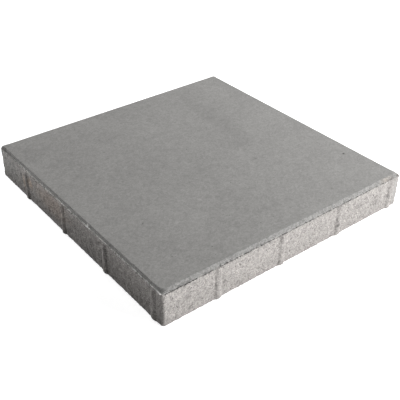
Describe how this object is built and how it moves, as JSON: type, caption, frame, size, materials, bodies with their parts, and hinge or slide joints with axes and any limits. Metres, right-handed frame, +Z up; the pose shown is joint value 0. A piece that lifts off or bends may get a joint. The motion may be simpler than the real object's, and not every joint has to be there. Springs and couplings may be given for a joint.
{
  "type": "concrete paving slab",
  "caption": "Square pressed concrete paving slab with a faceted upper edge, a narrow ledge under it and tapered spacer ribs cast on its walls.",
  "frame": {"origin": "middle of the bed face, which is the face that the slab lies on", "axes": "+Z up through the thickness to the walking face, +X and +Y along two neighbouring walls"},
  "size_m": [0.402, 0.402, 0.05],
  "materials": {
    "concrete": "grey cast concrete: fine, tight walking face, and sandy open-textured walls and bed face"
  },
  "bodies": {
    "root": {"paving_slab": "concrete"}
  },
  "joints": []
}
